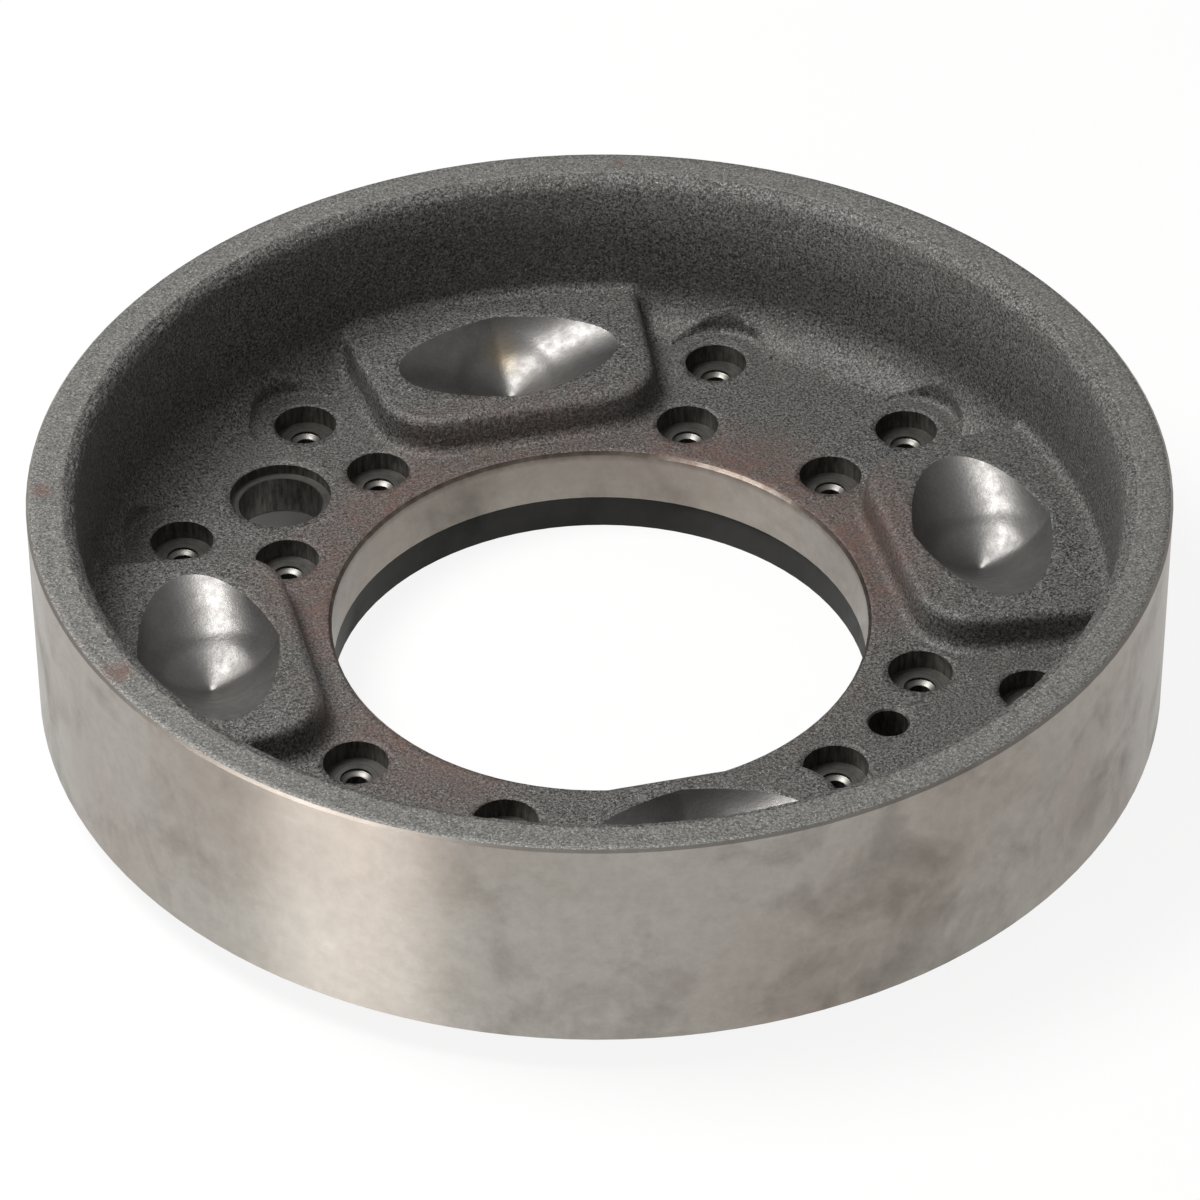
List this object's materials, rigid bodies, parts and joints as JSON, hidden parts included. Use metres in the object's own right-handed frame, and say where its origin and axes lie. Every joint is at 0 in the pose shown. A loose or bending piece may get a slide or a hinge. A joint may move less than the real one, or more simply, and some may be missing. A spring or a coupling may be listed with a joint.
{
  "type": "brake drum",
  "caption": "Cast iron brake drum with an open cavity, a large central bore, raised pads with machined ramped dishes, and counterbored bolt holes on the web.",
  "frame": {"origin": "on the bore axis at the end face of the spigot, the lowest face", "axes": "+Z along the bore axis towards the open rim; +X and +Y each run through the middle of a pad"},
  "size_m": [0.35, 0.35, 0.084],
  "materials": {
    "cast_iron": "as cast and shot blasted inside, turned smooth outside"
  },
  "bodies": {
    "root": {"brake_drum": "cast_iron"}
  },
  "joints": []
}
